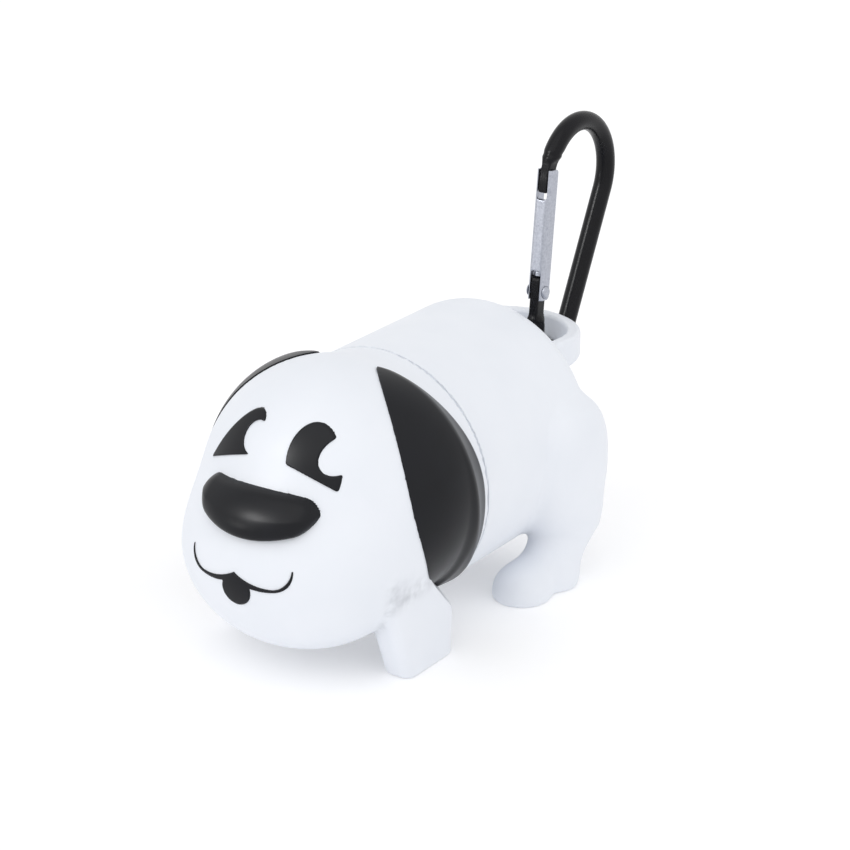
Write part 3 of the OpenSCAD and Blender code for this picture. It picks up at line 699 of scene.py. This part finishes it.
# %% Gate
def gate_field(p):
    """A folded channel: an open box of the sheet's thickness, less windows, plus lip and tab."""
    x, g, h = np.abs(p[..., 0]), p[..., 1], p[..., 2]
    box = rounded(x - GATE_HALF_WIDTH, GATE_LINE - GATE_HALF_DEPTH - g, 0.75)
    sheet = np.abs(box) - HALF_SHEET
    middle, half = (GATE_FOOT + GATE_TOP) / 2, (GATE_TOP - GATE_FOOT) / 2
    end = np.abs(h - middle) - half
    side = np.where(g < GATE_LINE, end, rounded(np.abs(g - GATE_LINE) - 1.7, end, 0.8))
    sheet = cut(sheet, side, 0.15)
    window = cut(x - WINDOW_HALF_WIDTH, -end - WINDOW_LENGTH, 0.9)
    sheet = cut(sheet, -np.maximum(window, g - GATE_LINE), 0.12)
    lip = np.maximum(np.abs(h - GATE_TOP + LIP_BELOW_TOP) - 0.22, x - 1.3)
    lip = np.maximum(lip, np.abs(g - GATE_LINE + LIP_OUT) - 0.45)
    tab = np.maximum(np.abs(h - TAB_HEIGHT) - 0.27, x - 1.4)
    tab = np.maximum(tab, np.abs(g - GATE_LINE + TAB_OUT) - 1.3)
    sheet = np.minimum(sheet, np.minimum(lip, tab) - 0.02)
    return np.maximum(sheet, GATE_HOLE - np.hypot(g - GATE_LINE, h - PIVOT))


gate = moulding("folded_gate", gate_field, [
    grid_lines((-2.2, 2.3, GATE_STEP)),
    grid_lines((-8.7, -4.6, GATE_STEP)),
    grid_lines((6.0, 36.5, 0.2 * COARSE))], sharp=45, place=on_clip)


def rivet_field(p):
    """A shank with a low dome on each end, one of them upset into a shallow dimple."""
    x, g, h = p[..., 0], p[..., 1], p[..., 2]
    around = np.hypot(g - GATE_LINE, h - PIVOT)
    q = np.stack((np.abs(x) - HEAD_AT, around, 0 * x), -1)
    head = ellipsoid(q, (0, 0, 0), (HEAD_HEIGHT, HEAD_RADIUS, HEAD_RADIUS))
    head = cut(head, HEAD_AT - np.abs(x), 0.1)
    dimple = np.hypot(around, x - 3.6) - 1.15
    head = cut(head, -dimple, 0.2)
    return np.minimum(head, np.maximum(around - RIVET_SHANK, np.abs(x) - 2.1))


rivet = moulding("rivet", rivet_field, [
    grid_lines((-2.9, 2.9, RIVET_STEP)),
    grid_lines((GATE_LINE - 1.8, GATE_LINE + 1.8, RIVET_STEP)),
    grid_lines((PIVOT - 1.8, PIVOT + 1.8, RIVET_STEP))], place=on_clip)


def plunger_field(p):
    """A pin with a narrower end that the spring sits on."""
    around = np.hypot(p[..., 0], p[..., 1] - GATE_LINE)
    wide = np.maximum(around - PIN_RADIUS, np.abs(p[..., 2] - PLUNGER_FOOT - 0.5) - 0.5)
    thin = np.maximum(around - PIN_END_RADIUS, np.abs(p[..., 2] - PLUNGER_FOOT - 1.1) - 1.1)
    return join(wide, thin, 0.15)


plunger = moulding("plunger", plunger_field, [
    grid_lines((-1.4, 1.4, GATE_STEP)),
    grid_lines((GATE_LINE - 1.4, GATE_LINE + 1.4, GATE_STEP)),
    grid_lines((PLUNGER_FOOT - 0.3, PLUNGER_FOOT + 2.6, GATE_STEP))], place=on_clip)

# %% [markdown]
# The spring is a profile carried along a path: a circle swept along a helix.
# Its two ends are cut off flat and closed with one face each.

# %% Spring
def tube(path, radius, around):
    """Rings of points round a path: path + radius * (cos a * outwards + sin a * sideways)."""
    forward = np.gradient(path, axis=0)
    forward /= np.linalg.norm(forward, axis=1, keepdims=True)
    up = np.array((0.0, 0.0, 1.0))
    outward = np.cross(forward, up)
    outward /= np.linalg.norm(outward, axis=1, keepdims=True)
    other = np.cross(outward, forward)
    a = np.linspace(0, 2 * np.pi, around, endpoint=False)[None, :, None]
    return path[:, None] + radius * (np.cos(a) * outward[:, None] + np.sin(a) * other[:, None])


def grid_quads(rows, columns, wrap_rows=False):
    """Quads between neighbouring rows; the last column joins the first, and so may the last row."""
    i, j = np.meshgrid(np.arange(rows if wrap_rows else rows - 1), np.arange(columns), indexing="ij")
    a, b = (i + 1) % rows, (j + 1) % columns
    quads = np.stack((i * columns + j, i * columns + b, a * columns + b, a * columns + j), -1)
    return quads.reshape(-1, 4)


TURNS, SPRING_FROM, SPRING_WIRE, SPRING_RADIUS = 10, 14.224, 0.4, 0.9
RING = 8
turns = np.linspace(0, 2 * np.pi * TURNS, 24 * TURNS + 1)
helix = np.stack((SPRING_RADIUS * np.cos(turns), GATE_LINE + SPRING_RADIUS * np.sin(turns),
                  SPRING_FROM + SPRING_WIRE / 2 + turns / (2 * np.pi)), -1)
rings = tube(helix, SPRING_WIRE / 2, RING)
faces = grid_quads(len(rings), RING).tolist()
faces.append(list(range(RING))[::-1])
faces.append([(len(rings) - 1) * RING + k for k in range(RING)])
spring = make_object("gate_coil", on_clip(rings.reshape(-1, 3)), faces)
print("spring faces:", len(faces))

# %% [markdown]
# ## The bags and their core
# A full roll is thin film wound on a paper-board tube. Turned profiles give
# both: the roll's ends show the edges of the winds as fine ridges, and its
# outside steps down where the last bag's edge lies.

# %% Roll and core
ROLL_Z, ROLL_FRONT, ROLL_REAR = 26.15, -18.5, 38.5
ROLL_RADIUS, CORE_RADIUS, CORE_WALL = 16.5, 6.5, 1.2


def revolve(name, radius, along, z, sharp=40):
    """Rings (radius, along) turned about Y: x = r cos t, z = r sin t; the last joins the first."""
    columns = radius.shape[1]
    t = np.linspace(0, 2 * np.pi, columns, endpoint=False)
    corners = np.stack((radius * np.cos(t), along, z + radius * np.sin(t)), -1)
    piece = make_object(name, corners.reshape(-1, 3),
                        grid_quads(*radius.shape, wrap_rows=True), sharp)
    print(name, radius.size * 2, "triangles")
    return piece


AROUND = 256
chance = np.random.default_rng(7)
t = np.linspace(0, 2 * np.pi, AROUND, endpoint=False)[None]
winds = 60
DENT_WAVES = (2, 3, 5, 7, 11)
inner, outer = CORE_RADIUS + 0.05, ROLL_RADIUS - 0.02
r_end = np.linspace(inner + 0.1, outer - 0.35, winds)[:, None] + 0 * t
ridge = 0.10 * (np.arange(winds) % 2)[:, None] + 0.12 * chance.random((winds, 1))
ridge = ridge + 0.10 * np.sin(3 * t + 9 * chance.random((winds, 1))) * chance.random((winds, 1))
length = np.linspace(0, 1, 40)[:, None]
edge = t[0, None] / (2 * np.pi)
dents = sum(0.05 * chance.random() * np.sin(
    k * t + 2 * np.pi * chance.random() + 3 * length * (chance.random() - 0.5)) for k in DENT_WAVES)
skin = np.minimum(outer - 0.3 * edge + dents - 0.12, outer) - 0.25 * np.abs(2 * length - 1) ** 16
bore = inner + 0 * t
radius = np.concatenate((r_end, skin, r_end[::-1], bore, bore), 0)
span = ROLL_FRONT + 0.1 + (ROLL_REAR - ROLL_FRONT - 0.2) * length + 0 * t
along = np.concatenate((ROLL_FRONT + 0.05 + ridge, span, ROLL_REAR - 0.05 - ridge[::-1],
                        ROLL_REAR - 0.3 + 0 * t, ROLL_FRONT + 0.3 + 0 * t), 0)
bag_roll = revolve("wound_bags", radius, along, ROLL_Z)

# (radius, offset) across the board's end, from the bore to the outside
wall = np.array(((CORE_RADIUS - CORE_WALL, 0), (CORE_RADIUS - CORE_WALL + 0.1, -0.1),
                 (CORE_RADIUS - 0.1, -0.1), (CORE_RADIUS, 0)))
front_rim = np.stack((wall[:, 0], ROLL_FRONT + 0.1 + wall[:, 1]), -1)
rear_rim = np.stack((wall[::-1, 0], ROLL_REAR - 0.1 - wall[::-1, 1]), -1)
outline = np.concatenate((front_rim, rear_rim))
core = revolve("board_core", outline[:, :1] + 0 * t, outline[:, 1:] + 0 * t, ROLL_Z)

# %% [markdown]
# ## Finishes
# Each material starts from the real one. One function turns a hex colour to
# linear light, one adds a node with its settings and links, one starts a
# material with the parts that all of them share, and one feeds its shader.

# %% Material helpers
def linear(code):
    """Hex sRGB to linear: c / 12.92 below 0.04045, else ((c + 0.055) / 1.055) ** 2.4."""
    c = np.array([int(code[i:i + 2], 16) for i in (1, 3, 5)]) / 255
    return (*np.where(c <= 0.04045, c / 12.92, ((c + 0.055) / 1.055) ** 2.4), 1.0)


def add(tree, kind, inputs=(), **settings):
    """Adds a node; inputs maps a socket's name or number to a value or to another node's output."""
    node = tree.nodes.new("ShaderNode" + kind)
    for name, value in settings.items():
        setattr(node, name, value)
    for name, value in dict(inputs).items():
        if isinstance(value, bpy.types.NodeSocket):
            tree.links.new(value, node.inputs[name])
        else:
            node.inputs[name].default_value = value
    return node


def new_material(name, **sockets):
    """A material with a Principled shader, its output, and object coordinates."""
    material = bpy.data.materials.new(name)
    material.use_nodes = True
    tree = material.node_tree
    tree.nodes.clear()
    shader = add(tree, "BsdfPrincipled", {k.replace("_", " "): v for k, v in sockets.items()})
    add(tree, "OutputMaterial", {"Surface": shader.outputs[0]})
    spots = add(tree, "TexCoord").outputs["Object"]
    return material, tree, shader, spots


def feed(tree, shader, colour, bump, gloss=None):
    """Links colour, bump and, if given, roughness to the shader."""
    tree.links.new(colour, shader.inputs["Base Color"])
    if gloss:
        tree.links.new(gloss, shader.inputs["Roughness"])
    tree.links.new(bump, shader.inputs["Normal"])


def per_mm(size):
    """Noise scale whose grains are about size millimetres, in an object measured in metres."""
    return 1.0 / (size * MM)


# %% [markdown]
# Soft white vinyl, moulded in a blasted tool: nearly flat white with a broad
# dull gloss, a fine orange peel and, in the folds, a trace of painted grey shade.

# %% White vinyl
def white_vinyl():
    """Two near-whites in a slow cloud, with painted shade: grey where patchy noise times fold number
    is high.
    """
    material, tree, shader, spots = new_material(
        "soft_white_vinyl_moulded", Roughness=0.46, IOR=1.5)
    cloud = add(tree, "TexNoise", {"Vector": spots, "Scale": per_mm(14), "Detail": 3.0})
    peel = add(tree, "TexNoise", {"Vector": spots, "Scale": per_mm(0.7), "Detail": 2.0})
    tint = add(tree, "Mix", {0: cloud.outputs["Fac"], 6: linear("#F1F4FA"), 7: linear("#E9EDF4")},
               data_type="RGBA")
    # painted shade: the fold number, broken into patches by noise, greys the white towards #8F939B
    fold_shade = add(tree, "Attribute", attribute_name="fold_shade")
    shade_noise = add(tree, "TexNoise", {"Vector": spots, "Scale": per_mm(3), "Detail": 2.0})
    patch = add(tree, "MapRange", {"Value": shade_noise.outputs["Fac"], "From Min": 0.35, "From Max": 0.65,
                                   "To Max": 0.4})
    shade_amount = add(tree, "Math", {0: fold_shade.outputs["Fac"], 1: patch.outputs[0]}, operation="MULTIPLY")
    colour = add(tree, "Mix", {0: shade_amount.outputs[0], 6: tint.outputs[2], 7: linear("#8F939B")},
                 data_type="RGBA")
    gloss = add(tree, "MapRange", {"Value": cloud.outputs["Fac"], "To Min": 0.40, "To Max": 0.52})
    bump = add(tree, "Bump", {"Height": peel.outputs["Fac"], "Strength": 0.25, "Distance": 0.03 * MM})
    feed(tree, shader, colour.outputs[2], bump.outputs[0], gloss.outputs[0])
    return material


WHITE = white_vinyl()

# %% [markdown]
# The black pieces are the same vinyl filled with carbon black: a satin skin
# that looks dark grey where it mirrors the light studio.

# %% Black vinyl
def black_vinyl():
    """Two near-blacks and two glosses in one cloud of 5 mm grains, over an orange peel of 0.5 mm."""
    material, tree, shader, spots = new_material(
        "soft_black_vinyl_moulded", Roughness=0.33, IOR=1.5, Specular_IOR_Level=0.24)
    cloud = add(tree, "TexNoise", {"Vector": spots, "Scale": per_mm(5), "Detail": 4.0})
    peel = add(tree, "TexNoise", {"Vector": spots, "Scale": per_mm(0.5), "Detail": 2.0})
    tint = add(tree, "Mix", {0: cloud.outputs["Fac"], 6: linear("#08090E"), 7: linear("#0F1118")},
               data_type="RGBA")
    gloss = add(tree, "MapRange", {"Value": cloud.outputs["Fac"], "To Min": 0.28, "To Max": 0.4})
    bump = add(tree, "Bump", {"Height": peel.outputs["Fac"], "Strength": 0.3, "Distance": 0.02 * MM})
    feed(tree, shader, tint.outputs[2], bump.outputs[0], gloss.outputs[0])
    return material


BLACK = black_vinyl()

# %% [markdown]
# The hook is aluminium wire, anodised and dyed black: a hard thin oxide over
# drawn metal, so its gloss is brighter than the vinyl's and faintly streaked
# along the wire.

# %% Anodised wire
def black_wire():
    """Near-black clouds of 3 mm; gloss and bump follow a fine noise stretched along the clip."""
    material, tree, shader, spots = new_material(
        "aluminium_wire_black_anodised", Roughness=0.3, IOR=1.6, Specular_IOR_Level=0.13)
    along = add(tree, "Mapping", {"Vector": spots, "Scale": (1.0, 1.0, 0.06)})
    draw = add(tree, "TexNoise", {"Vector": along.outputs[0], "Scale": per_mm(0.25), "Detail": 2.0})
    cloud = add(tree, "TexNoise", {"Vector": spots, "Scale": per_mm(3), "Detail": 3.0})
    tint = add(tree, "Mix", {0: cloud.outputs["Fac"], 6: linear("#0B0B0E"), 7: linear("#131317")},
               data_type="RGBA")
    gloss = add(tree, "MapRange", {"Value": draw.outputs["Fac"], "To Min": 0.2, "To Max": 0.36})
    bump = add(tree, "Bump", {"Height": draw.outputs["Fac"], "Strength": 0.2, "Distance": 0.01 * MM})
    feed(tree, shader, tint.outputs[2], bump.outputs[0], gloss.outputs[0])
    return material


WIRE = black_wire()

# %% [markdown]
# Gate, rivet, plunger and spring are steel with a bright zinc plate: a clean
# grey metal, slightly milky, with rolling lines along the strip.

# %% Plated steel
def plated_steel():
    """Light and darker grey grains; the bump is a noise stretched along the leaned gate."""
    material, tree, shader, spots = new_material(
        "steel_sheet_zinc_plated", Metallic=1.0, Roughness=0.3)
    turned = add(tree, "Mapping", {"Vector": spots, "Rotation": (LEAN, 0.0, 0.0)})
    along = add(tree, "Mapping", {"Vector": turned.outputs[0], "Scale": (1.0, 1.0, 0.12)})
    lines = add(tree, "TexNoise", {"Vector": along.outputs[0], "Scale": per_mm(0.3), "Detail": 3.0})
    grain = add(tree, "TexNoise", {"Vector": spots, "Scale": per_mm(0.45), "Detail": 4.0})
    tint = add(tree, "Mix", {0: grain.outputs["Fac"], 6: linear("#8E929D"), 7: linear("#C8CBD4")},
               data_type="RGBA")
    gloss = add(tree, "MapRange", {"Value": grain.outputs["Fac"], "To Min": 0.2, "To Max": 0.44})
    bump = add(tree, "Bump", {"Height": lines.outputs["Fac"], "Strength": 0.35, "Distance": 0.02 * MM})
    feed(tree, shader, tint.outputs[2], bump.outputs[0], gloss.outputs[0])
    return material


STEEL = plated_steel()

# %% [markdown]
# Bag film is thin blown polyethylene: slightly clear, slippery, crossed by fine
# lengthwise stretch lines. The core is grey-brown paper board with a slanted
# seam from its spiral winding.

# %% Film and board
def bag_film():
    """Two greens in a cloud of 6 mm grains; gloss and bump follow a noise stretched along the roll."""
    material, tree, shader, spots = new_material(
        "polyethylene_film_blown", Roughness=0.32, IOR=1.5, Sheen_Weight=0.1)
    along = add(tree, "Mapping", {"Vector": spots, "Scale": (1.0, 0.08, 1.0)})
    lines = add(tree, "TexNoise", {"Vector": along.outputs[0], "Scale": per_mm(0.5), "Detail": 3.0})
    cloud = add(tree, "TexNoise", {"Vector": spots, "Scale": per_mm(6), "Detail": 3.0})
    tint = add(tree, "Mix", {0: cloud.outputs["Fac"], 6: linear("#4C7F6A"), 7: linear("#5E927C")},
               data_type="RGBA")
    gloss = add(tree, "MapRange", {"Value": lines.outputs["Fac"], "To Min": 0.24, "To Max": 0.44})
    bump = add(tree, "Bump", {"Height": lines.outputs["Fac"], "Strength": 0.5, "Distance": 0.05 * MM})
    feed(tree, shader, tint.outputs[2], bump.outputs[0], gloss.outputs[0])
    return material


def core_board():
    """Short fibres in two board colours, with a darker seam where a slanted wave is at its crest."""
    material, tree, shader, spots = new_material("grey_board_spiral_wound", Roughness=0.85, IOR=1.45)
    fibre = add(tree, "TexNoise", {"Vector": spots, "Scale": per_mm(0.4), "Detail": 5.0})
    seam = add(tree, "TexWave", {"Vector": spots, "Scale": per_mm(50), "Distortion": 0.5},
               wave_type="BANDS", bands_direction="DIAGONAL")
    tint = add(tree, "Mix", {0: fibre.outputs["Fac"], 6: linear("#9A866B"), 7: linear("#BBA78A")},
               data_type="RGBA")
    line = add(tree, "MapRange", {"Value": seam.outputs["Fac"], "From Min": 0.93, "To Max": 0.5})
    colour = add(tree, "Mix", {0: line.outputs[0], 6: tint.outputs[2], 7: linear("#6E5E49")},
                 data_type="RGBA")
    bump = add(tree, "Bump", {"Height": fibre.outputs["Fac"], "Strength": 0.4, "Distance": 0.05 * MM})
    feed(tree, shader, colour.outputs[2], bump.outputs[0])
    return material


FILM, BOARD = bag_film(), core_board()

# %% [markdown]
# ## Onto the frame
# Each finished piece rides on the body of the CAD node that it stands for, so
# it moves with that body's joint.

# %% Pieces, nodes and bodies
PIECES = [
    (front_shell, "front_shell", "head", WHITE, "white_vinyl"),
    (left_ear, "left_ear", "head", BLACK, "black_vinyl"),
    (right_ear, "right_ear", "head", BLACK, "black_vinyl"),
    (left_eye, "left_eye", "head", BLACK, "black_vinyl"),
    (right_eye, "right_eye", "head", BLACK, "black_vinyl"),
    (nose, "nose", "head", BLACK, "black_vinyl"),
    (mouth, "mouth", "head", BLACK, "black_vinyl"),
    (rear_shell, "rear_shell", "barrel", WHITE, "white_vinyl"),
    (bag_roll, "bag_roll", "roll", FILM, "bag_film"),
    (core, "roll_core", "roll", BOARD, "core_board"),
    (hook, "carabiner_hook", "clip", WIRE, "black_anodised"),
    (gate, "carabiner_gate", "gate", STEEL, "plated_steel"),
    (rivet, "gate_rivet", "gate", STEEL, "plated_steel"),
    (plunger, "gate_plunger", "gate", STEEL, "plated_steel"),
    (spring, "gate_spring", "gate", STEEL, "plated_steel"),
]
for piece, node, body, material, slot in PIECES:
    piece.data.materials.append(material)
    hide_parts(node)
    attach(piece, body)
print("pieces:", len(PIECES))

# %% [markdown]
# ## Studio
# A wide white floor, a white surround and soft lamps. Together they light an
# upward white face to just under its own colour. The floor adds a little more
# light of its own for the camera and in reflections, so that it reads as white
# paper and still takes the object's shadow. The lamp called gleam shows only in
# reflections: it gives the nose its soft highlight.

# %% Floor, surround and lamps
WORLD_LIGHT = 0.77
FLOOR_REACH = 4.0
FLOOR_SEEN, FLOOR_GLOW = 0.05, 0.15
floor_mesh = bpy.data.meshes.new("floor")
corners = [(x, y, 0.0) for x, y in ((-FLOOR_REACH, -FLOOR_REACH), (FLOOR_REACH, -FLOOR_REACH),
                                    (FLOOR_REACH, FLOOR_REACH), (-FLOOR_REACH, FLOOR_REACH))]
floor_mesh.from_pydata(corners, [], [(0, 1, 2, 3)])
floor = bpy.data.objects.new("floor", floor_mesh)
bpy.context.scene.collection.objects.link(floor)
paper, tree, shader, spots = new_material("white_paper_matt", Roughness=0.9)
grain = add(tree, "TexNoise", {"Vector": spots, "Scale": per_mm(4.0), "Detail": 2.0})
tint = add(tree, "Mix", {0: grain.outputs["Fac"], 6: linear("#F2F2F3"), 7: linear("#F5F5F6")},
           data_type="RGBA")
tree.links.new(tint.outputs[2], shader.inputs["Base Color"])
shader.inputs["Specular IOR Level"].default_value = 0.0
rays = add(tree, "LightPath")
seen = add(tree, "Math", {0: rays.outputs["Is Camera Ray"], 1: rays.outputs["Is Glossy Ray"]},
           operation="MAXIMUM")
seen = add(tree, "Math", {0: seen.outputs[0], 1: rays.outputs["Is Transmission Ray"]},
           operation="MAXIMUM")
seen = add(tree, "Math", {0: seen.outputs[0], 1: FLOOR_SEEN, 2: FLOOR_GLOW}, operation="MULTIPLY_ADD")
tree.links.new(seen.outputs[0], shader.inputs["Emission Strength"])
shader.inputs["Emission Color"].default_value = (1.0, 1.0, 1.0, 1.0)
floor_mesh.materials.append(paper)

world = bpy.data.worlds.new("surround")
bpy.context.scene.world = world
world.use_nodes = True
tree = world.node_tree
tree.nodes.clear()
rays = add(tree, "LightPath")
direct = add(tree, "Math", {0: rays.outputs["Is Camera Ray"], 1: rays.outputs["Is Glossy Ray"]},
             operation="MAXIMUM")
direct = add(tree, "Math", {0: direct.outputs[0], 1: rays.outputs["Is Transmission Ray"]},
             operation="MAXIMUM")
level = add(tree, "MapRange", {"Value": direct.outputs[0], "To Min": WORLD_LIGHT, "To Max": 1.0})
sky = add(tree, "Background", {"Color": (1.0, 1.0, 1.0, 1.0), "Strength": level.outputs[0]})
add(tree, "OutputWorld", {"Surface": sky.outputs[0]})


def sun(name, azimuth, elevation, strength, breadth):
    """A distant lamp seen at azimuth (0 in front, 90 on the dog's left) and elevation, in degrees."""
    lamp = bpy.data.lights.new(name, "SUN")
    lamp.energy = strength
    lamp.angle = np.radians(breadth)
    thing = bpy.data.objects.new(name, lamp)
    bpy.context.scene.collection.objects.link(thing)
    thing.rotation_euler = (np.radians(90 - elevation), 0.0, np.radians(azimuth))
    return thing


sun("key", 10, 62, 0.5, 60)
sun("fill", 80, 40, 0.2, 80)
sun("front", -32, 6, 0.16, 10)
sun("gleam", -25, 34, 1.0, 10).visible_diffuse = False
scene = bpy.context.scene
scene.view_settings.view_transform = "Standard"
